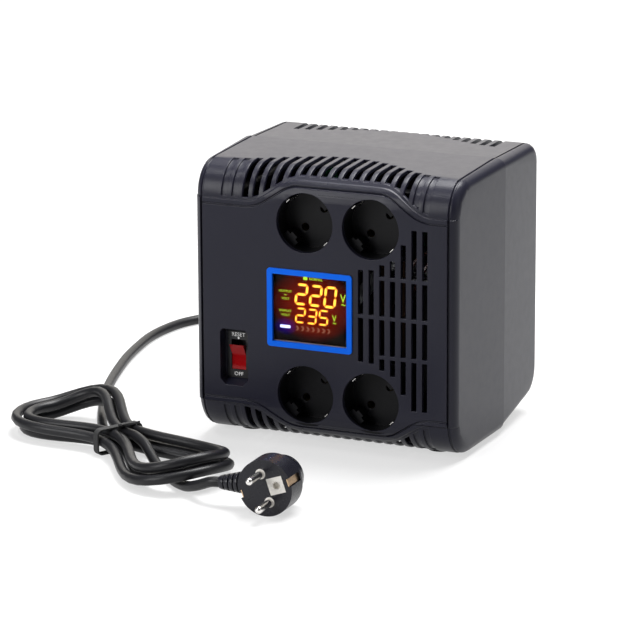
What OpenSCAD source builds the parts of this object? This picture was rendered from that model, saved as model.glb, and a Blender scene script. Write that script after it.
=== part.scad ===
// Voltage stabilizer in a two-shell plastic case, with four round mains sockets,
// a numeric display, a rocker breaker and a mains lead tied in a hank.
// X is the width, Y runs from the face to the back, Z is up from the surface it stands on.

/* [Case] */
// Width of the case at its face
body_w = 186; // [180:0.5:200]
// Height of the case without its feet
body_h = 187.2; // [184:0.2:200]
// Depth of the front shell
front_d = 84; // [80:0.5:96]
// Depth of the rear shell
rear_d = 69.5; // [68:0.5:84]
// Thickness of the shell walls
wall_t = 2.5; // [2:0.1:3]
// How far each side stands out at the seam
flare_x = 2.8; // [1:0.1:4]
// How far the top rises at the seam
flare_z = 0.8; // [0:0.1:2]
// Radius of the upper front edge
top_r = 23; // [16:0.5:26]
// Radius of the lower front edge
low_r = 29; // [16:0.5:32]
// Radius of the side edges
edge_r = 6.5; // [5:0.5:7.5]
// Step from the front shell down to the rear shell
seam_step = 0.5; // [0.2:0.1:1]
// How far each side draws in towards the back
rear_in = 1.4; // [0:0.1:3]
// How far the top falls towards the back
rear_drop = 1.6; // [0:0.1:3]
// How far the bottom rises towards the back
rear_rise = 8.5; // [4:0.5:11]
// Radius of the upper back edge
back_top_r = 14; // [9:0.5:18]
// Radius of the lower back edge
back_low_r = 20; // [12:0.5:22]
// Height of the rubber feet
foot_h = 2.5; // [2:0.1:4]
// Radius of the rubber feet
foot_r = 8; // [6:0.5:9]
// Distance of the feet's centres from the middle
foot_x = 68; // [50:1:72]
// Distance of the feet's centres from the face and from the back
foot_in = 38; // [36:0.5:42]

/* [Front panel] */
// How far the flat panel stands proud of the vented parts
panel_step = 1.2; // [0.6:0.1:1.6]
// Height of the panel at its sides
panel_low_h = 140; // [134:0.5:146]
// Height of the panel round the sockets
panel_high_h = 172; // [168:0.5:174]
// Half width of the high part of the panel
panel_high_w = 36; // [34:0.5:38]
// Half width of the foot of the high part
panel_wide_w = 60; // [56:0.5:62]
// Distance of the sockets' middle line from the case's middle
panel_x = 10; // [8:0.5:11]
// How far the panel's middle lies above the case's middle
panel_lift = 0.5; // [0:0.1:1]
// Radius of the panel outline's bends
wave_r = 26; // [20:0.5:30]
// Distance of the panel's border line from its edge
wave_line_in = 3; // [2:0.1:4]
// Width of the panel's border line
wave_line_w = 1.2; // [0.8:0.1:2]
// Distance of the side grooves from the case's middle
groove_x = 87.9; // [86:0.1:88.5]
// Width of the side grooves
groove_w = 1.4; // [0.8:0.1:2]
// Depth of the side grooves and of the blind vents
groove_t = 1.2; // [0.5:0.1:1.4]

/* [Vents and grille] */
// Distance from one vent slot to the next
vent_pitch = 7.54; // [7:0.02:7.6]
// Width of a vent slot
vent_w = 4.2; // [3:0.1:4.6]
// Distance of the vents from the panel's edge
vent_gap = 2; // [1.5:0.1:3]
// Reach of the outermost vents on to the top
vent_reach = 22.5; // [16:0.5:26]
// Further reach of the middle vents on to the top
vent_arc = 27; // [20:0.5:30]
// Reach of the back vents down the back
back_vent_h = 20; // [16:0.5:24]
// Reach of the outermost back vents on to the top
back_vent_reach = 33; // [28:0.5:36]
// How much less the middle back vents reach
back_vent_arc = 20; // [14:0.5:22]
// Width of a grille slot
grille_w = 3.5; // [3:0.1:4]
// Half height of the tallest grille slots
grille_h = 61; // [56:0.5:62]
// Distance of the outer cross bars from the panel's middle
grille_bar_z = 26.7; // [24:0.1:28]
// Height of a cross bar
grille_bar_h = 2.6; // [2:0.1:3]

/* [Sockets] */
// Distance between the sockets in a row
socket_pitch_x = 46.8; // [46.4:0.1:48]
// Distance between the two rows of sockets
socket_pitch_z = 117.3; // [114:0.1:118]
// Radius of a socket's well
well_r = 20; // [19.6:0.1:20.2]
// Depth of a socket's well behind the panel's face
well_d = 17.5; // [17:0.1:18]
// Turn of the sockets round their own middle
socket_turn = 45; // [30:1:60]
// Wall of a socket's insert
insert_t = 2; // [1.6:0.1:2.2]
// Side of the insert's square flange
flange_w = 45.6; // [45:0.1:46]
// Distance from the middle of a socket to each pin hole
pin_reach = 9.5; // [9:0.1:10]
// Radius of a pin hole
pin_hole_r = 2.75; // [2.6:0.05:3]
// Width of an earth clip
clip_w = 5; // [4:0.1:6]
// Thickness of an earth clip
clip_t = 0.8; // [0.6:0.1:1]
// Distance of a clip's finger from the wall of the well
clip_gap = 0.6; // [0.4:0.1:1]
// Distance of a clip's tip behind the panel's face
clip_tip_y = 3.8; // [3.8:0.1:6]
// Width of a guide rib
rib_w = 10.5; // [8:0.1:11]
// Height of a guide rib above the wall of the well
rib_h = 4; // [3:0.1:5]
// Width of a guide rib's key
key_w = 5; // [4:0.1:5.4]
// Height of a guide rib's key above the rib
key_h = 2; // [1:0.1:2.2]
// Distance of a guide rib's end behind the panel's face
rib_y = 7; // [5:0.1:9]
// Side of a socket's back cover
cover_w = 41; // [38:0.5:42]
// Depth of a socket's back cover
cover_d = 16.5; // [15:0.1:18]
// Outer radius of a pin contact
contact_r = 3.8; // [3.6:0.1:4]
// Radius of a pin contact's stem
stem_r = 1.5; // [1.2:0.1:2]
// Width of a bus strip
bus_w = 6; // [4:0.1:7]
// Thickness of a bus strip
bus_t = 0.8; // [0.6:0.1:1.2]
// Radius of a small screw's thread
screw_r = 1.5; // [1.2:0.1:1.6]

/* [Display] */
// Width of the display's frame
bezel_w = 60.7; // [58:0.1:62]
// Height of the display's frame
bezel_h = 53.5; // [52:0.1:54]
// Width of the frame's border
bezel_t = 3.7; // [3:0.1:4.2]
// How far the frame stands proud of the panel
bezel_proud = 1.2; // [0.6:0.1:2]
// Radius of the frame's corners
bezel_r = 2.2; // [1:0.1:3]
// Distance of the display's middle from the case's middle
display_x = -9.8; // [-11:0.1:-9]
// Distance of the window behind the panel's face
window_y = 0.8; // [0.4:0.1:1.2]
// Thickness of the window
window_t = 1.4; // [1:0.1:1.6]
// Depth of the lamp block behind the digits
lamp_d = 8.4; // [7:0.1:10]
// Width of the display's board
lamp_board_w = 56; // [52:0.5:58]
// Height of the big digits
digit_h = 15; // [12:0.1:15.4]
// Width of the big digits
digit_w = 9; // [7:0.1:9.4]
// Distance from one big digit to the next
digit_pitch = 10.3; // [9.8:0.1:11]
// Stroke of the big digits
digit_t = 1.8; // [1:0.1:2]
// Lean of the digits to the right, as a share of their height
digit_lean_share = 0.12; // [0:0.01:0.2]

/* [Breaker] */
// Width of the breaker's pocket
pocket_w = 20; // [19.4:0.1:21]
// Height of the breaker's pocket
pocket_h = 38.5; // [37.5:0.1:40]
// Depth of the breaker's pocket
pocket_d = 9; // [8:0.1:10]
// Corner cut at the pocket's lower end
pocket_cut = 4; // [2:0.1:5]
// Rise of the pocket's lower wall towards its floor
pocket_rise = 3; // [1:0.1:3.4]
// Distance of the breaker's middle from the case's middle
breaker_x = -65; // [-66:0.1:-64]
// Distance of the breaker's middle below the panel's middle
breaker_drop = 38.2; // [36:0.1:40]
// Width of the breaker's plate
plate_w = 15.6; // [15:0.1:16.4]
// Height of the breaker's plate
plate_h = 32; // [30:0.1:32.5]
// Thickness of the breaker's plate
plate_t = 1.2; // [0.8:0.1:1.6]
// Depth of the breaker's body behind the pocket
breaker_d = 26; // [22:0.5:30]
// Width of the rocker
rocker_w = 10; // [9:0.1:10.6]
// Height of the rocker
rocker_h = 18.4; // [17:0.1:19]
// How far the rocker's ends stand from its pivot
rocker_nose = 5; // [4:0.1:5.4]
// How far the rocker's middle stands from its pivot
rocker_saddle = 2.4; // [2:0.1:3.4]
// Depth of the rocker behind its pivot
rocker_back = 4.5; // [3:0.1:5]
// Tilt of the rocker to either side
rocker_tilt = 14; // [8:0.5:15]
// Radius of the rocker's trunnions
trunnion_r = 1.5; // [1.2:0.1:1.8]
// Length of a trunnion
trunnion_l = 1.1; // [0.8:0.1:1.2]
// Clearance round a trunnion
trunnion_gap = 0.05; // [0.03:0.01:0.08]

/* [Transformer and board] */
// Width of the core's centre leg
leg_w = 32; // [28:1:33]
// Depth of the core's stack
stack_d = 40; // [32:1:41]
// Wall of the bobbin
bobbin_t = 1.2; // [0.8:0.1:1.4]
// Thickness of the transformer's bracket
bracket_t = 1.5; // [1:0.1:2]
// Depth of the bracket's strap
bracket_d = 30; // [24:1:34]
// Reach of the bracket's feet beyond the core
bracket_ear = 12; // [10:0.5:14]
// Height of the bosses under the transformer above the case's bottom
boss_top = 15.5; // [15:0.1:18]
// Width of the control board
board_w = 120; // [112:1:130]
// Height of the control board
board_h = 60; // [56:1:62]
// Thickness of the circuit boards
board_t = 1.6; // [1:0.1:2]
// Distance of the control board from the back wall
standoff_l = 6; // [4:0.1:8]
// Radius of the standoffs
standoff_r = 3.2; // [2.8:0.1:3.6]
// Width of a relay
relay_w = 19; // [16:0.5:20]
// Height of a relay
relay_h = 15.5; // [12:0.5:17]
// Depth of a relay
relay_d = 15.5; // [12:0.5:18]
// Radius of a capacitor
cap_r = 5; // [4:0.1:6]
// Length of a capacitor
cap_l = 13; // [10:0.5:20]

/* [Lead and plug] */
// Diameter of the mains lead
cord_d = 7; // [6.6:0.1:7.2]
// Radius of the gland's collar
gland_r = 8; // [7:0.1:9]
// Length of the gland's tapered sleeve
gland_l = 32; // [30:0.5:34]
// Radius of the plug's face
plug_r = 18.6; // [18.2:0.1:18.6]
// Depth of the plug's face collar
plug_d = 17; // [15:0.1:19]
// Depth of the plug's grip behind the collar
grip_d = 14; // [12:0.1:15]
// Radius of a plug pin
plug_pin_r = 2.4; // [2.3:0.05:2.45]
// Length of a plug pin
plug_pin_l = 19; // [18.5:0.1:19.5]
// Tilt of the line through the plug's pins
plug_turn = 19; // [10:1:24]
// Side of the plug's earth insert
earth_w = 11; // [10:0.1:12]
// Radius of the plug's earth hole
earth_hole_r = 2.5; // [2.2:0.1:2.6]

/* [Hidden] */

// Overrun of every cut past the surface it opens
over = 1;
// Clearance between pieces that slip into each other
slip = 0.3;
// Clearance between a screw's thread and its pilot hole
pilot_gap = 0.05;
// Facets of a case outline's full circle
form_fn = 48;
wave_fn = 120;
// Facets of a round piece
round_fn = 64;

// Thickness of a slice that only guides a rounded form
leaf = 0.01;
// Facets of a quarter turn in an outline, and of the side edges' roll
arc_steps = 10;
roll_steps = 4;

// Levels of the case, from the face to the back and from the bottom up
total_d = front_d + rear_d;
front_y = (bezel_proud - total_d) / 2;
seam_y = front_y + front_d;
back_y = seam_y + rear_d;
base_z = foot_h;
top_z = base_z + body_h;
seam_z = top_z + flare_z;
rear_z = seam_z - seam_step;
rear_end_z = rear_z - rear_drop;
half_w = body_w / 2;
seam_half = half_w + flare_x;
rear_seam_half = seam_half - seam_step;
mid_z = base_z + body_h / 2 + panel_lift;
panel_t = panel_step + wall_t;
face_y = front_y + panel_step;
back_in_y = back_y - wall_t;
// Run of a case outline past the seam
seam_run = 4 * wall_t;
// The panel's side faces lie this much inside the shell's, so they blend
panel_hair = 0.05;

// Vents: 20 slots, of which the two at each end are blind
vent_count = 20;
vent_blind_count = 2;
vent_half = vent_count * vent_pitch / 2;
vent_round_share = 0.08;
function vent_x(i) = (i - (vent_count - 1) / 2) * vent_pitch;
function vent_share(x) =
    let (c = (1 + cos(180 * x / vent_half)) / 2) c + vent_round_share * sin(180 * c);
function is_blind(i) = i < vent_blind_count || i >= vent_count - vent_blind_count;

// Grille: half heights of the columns, from the sockets outwards
grille_reach_shares = [0.51, 0.52, 0.585, 0.64, 0.83, 1, 1];
grille_count = len(grille_reach_shares);
grille_first = vent_count - grille_count;
// The first two columns have no outer cross bars
grille_plain_count = 2;

// Sockets
socket_sides = [[-1, 1], [1, 1], [-1, -1], [1, -1]];
well_wall = 2;
ear_in = 4.4;
ear_reach = flange_w / 2 - ear_in;
ear_r = 3.2;
head_r = 2.8;
head_h = 1.8;
screw_bite = 8;
well_back = well_d + insert_t;
flange_back = well_back + insert_t;
cover_back = well_back + cover_d;
contact_wall = 1.2;
finger_in = well_r - clip_gap - clip_t;
bus_y = front_y + cover_back;
pin_dx = pin_reach * cos(socket_turn);
pin_dz = pin_reach * sin(socket_turn);

// Display
bezel_lip = 1.8;
window_lap = 0.8;
segment_t = 0.4;
glass_w = bezel_w - 2 * bezel_t;
glass_h = bezel_h - 2 * bezel_t;
skirt_w = bezel_w - 2 * bezel_lip - 2 * slip;
skirt_h = bezel_h - 2 * bezel_lip - 2 * slip;
segment_y = window_y + window_t;
lamp_y = segment_y + segment_t;
lamp_board_y = lamp_y + lamp_d;
lamp_post_r = 2.9;
lamp_post_dx = lamp_board_w / 2 - lamp_post_r - slip;
lamp_post_dz = bezel_h / 2 + lamp_post_r + 2 * slip;
lamp_board_h = 2 * (lamp_post_dz + lamp_post_r);
digit_x = -6.8;
digit_z = 9.85;
small_z = -4.6;
small_x = -7.6;
small_share = 0.72;
small_wide_share = 0.8;
small_pitch = digit_pitch * small_wide_share;
// Seven segments of each digit: top, upper left, upper right, middle, lower left, lower right, bottom
lit_big = ["1011101", "1011101", "1110111"];
lit_small = ["1011101", "1011011", "1101011"];
digit_count = 3;

// Breaker
breaker_z = mid_z - breaker_drop;
pocket_t = 2;
plate_rim = 1;
breaker_w = plate_w - 2 * plate_rim;
breaker_h = plate_h - 2 * plate_rim;
pivot_in = 3;
plate_y = pocket_d - plate_t;
pivot_y = plate_y + pivot_in;
rocker_gap = 0.3;
nose_reach = norm([rocker_h / 2, rocker_nose]);
nose_angle = atan2(rocker_nose, rocker_h / 2);
cave_h = 2 * (nose_reach * cos(max(0, nose_angle - rocker_tilt)) + rocker_gap);
cave_w = rocker_w + 2 * rocker_gap;
heel_share = 0.45;
heel_reach = norm([rocker_back, heel_share * rocker_h / 2]);
cave_d = pivot_in + heel_reach + rocker_gap;
blade_w = 6.3;
blade_t = 0.8;
blade_l = 9;
blade_pitch = 9;

// Transformer, from the proportions of a stamped E and I core
core_w = 3 * leg_w;
core_h = 2.5 * leg_w;
window_w = leg_w / 2;
window_h = 1.5 * leg_w;
coil_gap = 0.4;
// The winding fills its window
coil_t = window_w - 2 * coil_gap - bobbin_t;
coil_half_d = stack_d / 2 + coil_gap + bobbin_t + coil_t;
coil_half_w = leg_w / 2 + coil_gap + bobbin_t + coil_t;
core_y = back_in_y - coil_half_d - 2 * slip;
core_z = base_z + boss_top + bracket_t;
core_top_z = core_z + core_h;
core_side = core_w / 2;
ear_x = core_w / 2 + bracket_t + bracket_ear / 2;
ear_dy = bracket_d / 2 - bracket_ear / 2;
boss_r = 4.5;
coil_r = 4;

// Control board
board_gap = 8;
board_z = core_z + core_h + bracket_t + board_gap + board_h / 2;
board_y = back_in_y - standoff_l - board_t;
board_rim = 3;
standoff_in = 6;
standoff_dx = board_w / 2 - standoff_in;
standoff_dz = board_h / 2 - standoff_in;
relay_count = 4;
relay_gap = 4;
relay_pitch = relay_w + relay_gap;
relay_rise = board_h / 2 - relay_h / 2 - board_rim;
block_w = 44;
block_h = 10;
block_d = 12;
block_x = -28;
block_drop = board_h / 2 - block_h / 2 - board_rim;
cap_xs = [8, 24];
cap_drop = board_h / 2 - cap_r - board_rim;

// Case screws
post_x = 81.5;
post_r = 4.5;
post_zs = [base_z + low_r + post_r + over, top_z - top_r - post_r - over];
rear_post_r = 5.6;
case_screw_r = 1.75;
case_head_r = 3.8;
case_head_h = 2.6;
case_screw_in = 36;
case_screw_bite = 16;

// Cord gland on the back wall
gland_x = -60;
gland_collar = 3;
gland_z = base_z + rear_rise + back_low_r + gland_r + gland_collar;
gland_tip_r = 5.4;
gland_end = back_y + gland_collar + gland_l;
nut_r = 9;
nut_t = 5;

// Wires
wire_r = 1.1;
wire_steps = 4;
wire_sides = 6;
wire_side_dir = [1, 0, 0.2];
wire_pitch = 3;
wire_straight = 10;
block_pitch = 7;
tap_xs = [16, 26];
tap_shift = 10;
ribbon_x = 10;
ribbon_w = 12;
ribbon_t = 1;
ribbon_in = 8;
// Routes of the wires inside, between their straight ends, round the transformer's core
breaker_route = [[-core_side - 18, 30, 44], [-core_side - 19, 0, 46]];
block_route = [[-core_side - 7, 50, 66], [-core_side - 6, 44, core_top_z - 2]];
earth_route = [[-core_side - 13, 48, 44], [-core_side - 8, 40, 50]];
feed_route = [[-core_side - 18, 0, core_top_z - 16], [-core_side - 12, 34, core_top_z + 8]];
live_route = [[-24, 10, core_top_z + 8]];
neutral_route = [[-14, 10, core_top_z + 12]];
tap_route = [[0, -2, core_top_z], [0, 30, core_top_z + 12]];
ribbon_route = [[-20, core_top_z + 3], [20, core_top_z + 11]];
live_tap_z = core_top_z;
neutral_tap_z = core_top_z + 8;
strap_z = 50;

// Plug, which stands on its rim with its pins towards the front
plug_place = [19, -215, plug_r];
plug_neck_y = 12;
plug_slope = 6;
neck_r = 8.4;
sleeve_l = 18;
sleeve_tip_r = 4.4;
rib_count = 5;
rib_share = 0.6;
sleeve_axis = [-cos(plug_slope), 0, -sin(plug_slope)];
sleeve_end = plug_place + [0, plug_neck_y, 0] + (plug_r + sleeve_l) * sleeve_axis;
grip_root_share = 0.93;
grip_tip_share = 0.72;
plug_pin_root = 10;
pin_root_r = 1.9;
collar_t = 1;
strip_in = 2.4;
strip_w = 5;
strip_l = 15;
earth_x = 8;

// Hank of the lead: loops that spiral outwards in a lower layer and back inwards in an upper one
hank_loops = 3;
hank_rings = 24;
hank_step = 8.3;
hank_inner = 2.4;
hank_right = 98;
hank_left = 82;
hank_right_swell = 80;
hank_left_swell = 78;
hank_blunt_share = 0.4;
hank_right_bend = 8;
hank_left_bend = 3;
waist = [-127, -123, 0];
waist_turn = -30;
waist_lift = 1.6;
layer_h = cord_d + 0.6;
hank_rise = 10.8;
tie_w = 5;
tie_t = 1.2;
tie_r = 3;
tie_slope = 18;
tie_turns = [-35, 20];
tie_end_l = 16;
lead_steps = 2;
cord_sides = 8;
hank_sides = 6;

function bump(d, w) = abs(d) < w ? (1 + cos(180 * d / w)) / 2 : 0;
function out(v) = [
    waist[0] + v[0] * cos(waist_turn) - v[1] * sin(waist_turn),
    waist[1] + v[0] * sin(waist_turn) + v[1] * cos(waist_turn),
    v[2]
];
// Innermost line of the hank at an angle round it, and the outward direction there
function hank_line(a) = let (
    right = sin(a) > 0,
    widest = right ? hank_right_swell : hank_left_swell,
    swell = widest * pow(sin(a), 2) * (1 - hank_blunt_share * pow(sin(a), 2)),
    bend = (right ? hank_right_bend : hank_left_bend) * pow(sin(a), 2)
) [(right ? hank_right : hank_left) * sin(a), (hank_inner + swell) * cos(a) - bend];
function hank_out(a) = let (d = unit(hank_line(a + 1) - hank_line(a - 1))) [-d[1], d[0]];
// Point of the hank after t loops, which starts at the waist and goes round its right end first
function loop_point(t) = let (
    a = 360 * (t - floor(t)),
    spiral = hank_step * (hank_loops / 2 - abs(t - hank_loops / 2)),
    climb = min(1, max(0, 2 * (t - hank_loops / 2) + 0.5)),
    layer = layer_h * (1 - cos(180 * climb)) / 2,
    rise = hank_rise * (bump(a - 90, 55) + bump(a - 316, 44)),
    place = hank_line(a) + spiral * hank_out(a)
) [place[0], place[1], cord_d / 2 + waist_lift * pow(cos(a), 4) + layer + rise];
function at_waist(u, t) = out([u, 0, 0] + loop_point(t));
hank_path = concat(
    [at_waist(-cord_d, 0)],
    [for (k = [0 : hank_rings * hank_loops]) out(loop_point(k / hank_rings))],
    [at_waist(cord_d, hank_loops)]
);
// Least distance between points of the path that lie at least a third of a loop apart, less the cord
fine_path = [for (k = [0 : 96 * hank_loops]) loop_point(k / 96)];
hank_gap = min([for (i = [0 : len(fine_path) - 33], j = [i + 32 : len(fine_path) - 1])
    norm(fine_path[i] - fine_path[j])]) - cord_d;
echo(hank_gap = hank_gap);

// Route of the lead from the gland round to the hank, on the surface that the case stands on
lead_points = [
    [-61, 138, 37], [-64, 154, 25], [-69, 170, 12.5], [-77, 185, 5], [-89, 198, 3.5], [-106, 208, 3.5],
    [-128, 213, 3.5], [-150, 213, 3.5], [-172, 208, 3.5], [-191, 200, 3.5], [-207, 188, 3.5],
    [-218, 170, 3.5], [-223, 148, 3.5], [-224, 124, 3.5], [-221, 98, 3.5], [-216, 70, 3.5],
    [-209, 42, 3.5], [-201, 14, 3.5], [-192, -13, 3.5], [-183, -35, 3.5], [-173, -57, 3.5],
    [-164, -76, 3.5], [-155.5, -92, 3.5], [-147, -105, 3.8]
];
// Route of the lead from the hank to the plug
tail_points = [
    [-103, -136.5, 11.2], [-94, -146, 8], [-85, -156, 5], [-76, -165.5, 3.5], [-66, -175, 3.5],
    [-56, -184, 3.6], [-46, -192, 5.2], [-35.5, -199, 9.2]
];

// Prism of a YZ outline, centred on X
module along_x(len) rotate([90, 0, 90]) translate([0, 0, -len / 2]) linear_extrude(len) children();

// Prism of an XZ outline between two depths
module along_y(y0, y1) translate([0, y1, 0]) rotate([90, 0, 0]) linear_extrude(y1 - y0) children();

// Round bar along Y between two depths
module rod(r, y0, y1) translate([0, y1, 0]) rotate([90, 0, 0]) cylinder(r = r, h = y1 - y0, $fn = round_fn);

// Block centred on X and Z between two depths
module block(w, h, y0, y1) translate([-w / 2, y0, -h / 2]) cube([w, y1 - y0, h]);

// Plate with round corners, between two depths
module plate(w, h, r, y0, y1)
    along_y(y0, y1) offset(r = r, $fn = form_fn) square([w - 2 * r, h - 2 * r], center = true);

// Turns a child so that +X points up by an angle, as seen from the front
module turn(a) rotate([0, -a, 0]) children();

function arc(cy, cz, r, a0, a1) = [
    for (k = [0 : arc_steps]) let (a = a0 + (a1 - a0) * k / arc_steps) [cy + r * cos(a), cz + r * sin(a)]
];

// Side outline of the front shell, drawn in by an inset and carried past the seam
module front_outline(inset) {
    slope = flare_z / (seam_y - face_y - top_r);
    polygon(concat(
        arc(face_y + top_r, top_z - top_r, top_r - inset, 90, 180),
        arc(face_y + low_r, base_z + low_r, low_r - inset, 180, 270),
        [[seam_y + seam_run, base_z + inset], [seam_y + seam_run, seam_z + slope * seam_run - inset]]
    ));
}

// Side outline of the rear shell, drawn in by an inset and carried past the seam
module rear_outline(inset) {
    low_z = base_z + seam_step + inset;
    polygon(concat(
        [[seam_y - seam_run, low_z], [seam_y, low_z]],
        arc(back_y - back_low_r, base_z + rear_rise + back_low_r, back_low_r - inset, 270, 360),
        arc(back_y - back_top_r, rear_end_z - back_top_r, back_top_r - inset, 0, 90),
        [[seam_y - seam_run, rear_z - inset]]
    ));
}

// Solid of one half of the case, with rolled side edges and leaning sides
module form(front, inset, side_in) {
    half = (front ? half_w : rear_seam_half) - side_in;
    lean = front ? flare_x / front_d : -rear_in / rear_d;
    y0 = front ? front_y : seam_y;
    roll = edge_r - max(inset, 0);
    hull() for (side = [0, 1], k = [0 : roll_steps]) {
        a = 90 * k / roll_steps;
        drawn = inset + roll * (1 - cos(a));
        mirror([side, 0, 0]) multmatrix([[1, lean, 0, -lean * y0], [0, 1, 0, 0], [0, 0, 1, 0]])
            translate([half - roll + roll * sin(a), 0, 0]) along_x(leaf)
                if (front) front_outline(drawn); else rear_outline(drawn);
    }
}

// Everything before or behind the seam
module seam_side(front)
    translate([-body_w, front ? seam_y - 2 * total_d : seam_y, -body_h])
        cube([2 * body_w, 2 * total_d, 3 * body_h]);

// Outline of the raised panel, with a high part round the sockets
module wave_outline() {
    low = panel_low_h / 2;
    high = panel_high_h / 2;
    upper = [
        [-body_w, low], [panel_x - panel_wide_w, low], [panel_x - panel_high_w, high],
        [panel_x + panel_high_w, high], [panel_x + panel_wide_w, low], [body_w, low]
    ];
    lower = [for (k = [len(upper) - 1 : -1 : 0]) [upper[k][0], -upper[k][1]]];
    translate([0, mid_z]) offset(r = wave_r, $fn = wave_fn) offset(r = -2 * wave_r, $fn = wave_fn)
        offset(r = wave_r, $fn = wave_fn) polygon(concat(upper, lower));
}

module wave_prism(grow) along_y(front_y - over, seam_y - over) offset(delta = grow) wave_outline();

module wave_line() intersection() {
    along_y(front_y - over, face_y + top_r) difference() {
        offset(delta = -wave_line_in) wave_outline();
        offset(delta = -wave_line_in - wave_line_w) wave_outline();
    }
    translate([-groove_x, front_y - over, 0]) cube([2 * groove_x, front_d, seam_z]);
}

// Vent slots of the front shell, over its upper and lower edges, either the blind or the open ones
module front_vents(blind) difference() {
    for (i = [0 : vent_count - 1]) if (is_blind(i) == blind)
        translate([vent_x(i) - vent_w / 2, front_y - over, base_z - over])
            cube([vent_w, over + vent_reach + vent_arc * vent_share(vent_x(i)), seam_z - base_z + 2 * over]);
    wave_prism(vent_gap);
}

module rear_vents() for (i = [0 : vent_count - 1]) {
    reach = back_vent_reach - back_vent_arc * vent_share(vent_x(i));
    translate([vent_x(i) - vent_w / 2, back_y - reach, rear_end_z - back_vent_h])
        cube([vent_w, reach + over, back_vent_h + 2 * over]);
}

module side_grooves(x, low_z) for (side = [-1, 1])
    translate([side * x - groove_w / 2, front_y - over, low_z])
        cube([groove_w, total_d + 2 * over, seam_z + over - low_z]);

module grille() for (k = [0 : grille_count - 1]) {
    reach = grille_h * grille_reach_shares[k];
    bars = k < grille_plain_count ? [0] : [-grille_bar_z, 0, grille_bar_z];
    translate([vent_x(grille_first + k), front_y, mid_z]) difference() {
        block(grille_w, 2 * reach, -over, panel_t + over);
        for (z = bars) translate([0, 0, z])
            block(grille_w + over, grille_bar_h, -2 * over, panel_t + 2 * over);
    }
}

module at_socket(k)
    translate([panel_x + socket_sides[k][0] * socket_pitch_x / 2, front_y,
        mid_z + socket_sides[k][1] * socket_pitch_z / 2]) children();

// The two fixing points of a socket, on the diagonal of its earth clip
module at_ears() for (side = [-1, 1]) translate([-side * ear_reach, 0, side * ear_reach]) children();

module at_lamp_posts() for (sx = [-1, 1], sz = [-1, 1])
    translate([display_x + sx * lamp_post_dx, front_y, mid_z + sz * lamp_post_dz]) children();

module at_case_screws() for (side = [-1, 1], z = post_zs) translate([side * post_x, 0, z]) children();

// Outline of the breaker's pocket: round above, cut corners below
module pocket_outline() {
    w = pocket_w / 2;
    h = pocket_h / 2;
    cut = pocket_cut;
    polygon([
        [-w + cut, -h], [w - cut, -h], [w, -h + cut], [w, h - cut / 2], [w - cut / 2, h],
        [-w + cut / 2, h], [-w, h - cut / 2], [-w, -h + cut]
    ]);
}

module at_breaker() translate([breaker_x, front_y, breaker_z]) children();

module front_inside() {
    for (k = [0 : 3]) at_socket(k) at_ears() rod(ear_r, 0, well_d);
    at_lamp_posts() rod(lamp_post_r, 0, lamp_board_y);
    at_case_screws() rod(post_r, front_y, seam_y);
    at_breaker() along_y(0, pocket_d + pocket_t) offset(delta = pocket_t) pocket_outline();
}

module front_holes() {
    for (k = [0 : 3]) at_socket(k) {
        rod(well_r, -over, panel_t + over);
        rod(well_r + well_wall + slip, panel_t, well_d + over);
        at_ears() rod(screw_r + pilot_gap, well_d - screw_bite - over, well_d + over);
    }
    at_lamp_posts() rod(screw_r + pilot_gap, panel_t, lamp_board_y + over);
    at_case_screws() rod(case_screw_r + pilot_gap, seam_y - case_screw_bite - over, seam_y + over);
    translate([display_x, front_y, mid_z])
        block(bezel_w - 2 * bezel_lip, bezel_h - 2 * bezel_lip, -over, panel_t + over);
    at_breaker() {
        difference() {
            along_y(-over, pocket_d) pocket_outline();
            translate([0, 0, -pocket_h / 2]) along_x(pocket_w) polygon([
                [0, -over], [0, 0], [pocket_d, pocket_rise],
                [pocket_d + over, pocket_rise], [pocket_d + over, -over]
            ]);
        }
        block(breaker_w + 2 * slip, breaker_h + 2 * slip, pocket_d - over, pocket_d + pocket_t + over);
    }
}

module front_shell() color("#2c2c33") difference() {
    union() {
        difference() {
            intersection() {
                union() {
                    form(true, 0, 0);
                    intersection() {
                        form(true, -panel_step, panel_hair);
                        wave_prism(0);
                    }
                }
                seam_side(true);
            }
            form(true, wall_t, wall_t);
            front_vents(false);
            difference() {
                union() {
                    front_vents(true);
                    side_grooves(groove_x, -over);
                }
                along_x(body_w) front_outline(groove_t);
            }
            difference() {
                wave_line();
                form(true, 0, 0);
            }
            grille();
        }
        intersection() {
            front_inside();
            along_x(body_w) front_outline(wall_t / 2);
        }
    }
    front_holes();
}

module at_feet(rear) for (side = [-1, 1])
    translate([side * foot_x, rear ? back_y - foot_in : front_y + foot_in, 0]) children();

module at_bracket_screws() for (sx = [-1, 1], sy = [-1, 1])
    translate([sx * ear_x, core_y + sy * ear_dy, base_z + boss_top]) children();

module at_standoffs() for (sx = [-1, 1], sz = [-1, 1])
    translate([sx * standoff_dx, 0, board_z + sz * standoff_dz]) children();

module rear_inside() {
    at_case_screws() rod(rear_post_r, seam_y, back_y);
    at_bracket_screws() translate([0, 0, -boss_top]) cylinder(r = boss_r, h = boss_top, $fn = round_fn);
    at_standoffs() rod(standoff_r, back_in_y - standoff_l, back_y);
}

module rear_holes() {
    at_case_screws() {
        rod(case_screw_r + slip, seam_y - over, back_y);
        rod(case_head_r + slip, back_y - case_screw_in, back_y + over);
    }
    at_bracket_screws() translate([0, 0, -screw_bite])
        cylinder(r = screw_r + pilot_gap, h = screw_bite + over, $fn = round_fn);
    at_standoffs() rod(screw_r + pilot_gap, back_in_y - standoff_l - over, back_in_y);
    translate([gland_x, 0, gland_z]) rod(gland_r - 2 * slip, back_in_y - over, back_y + over);
}

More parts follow.
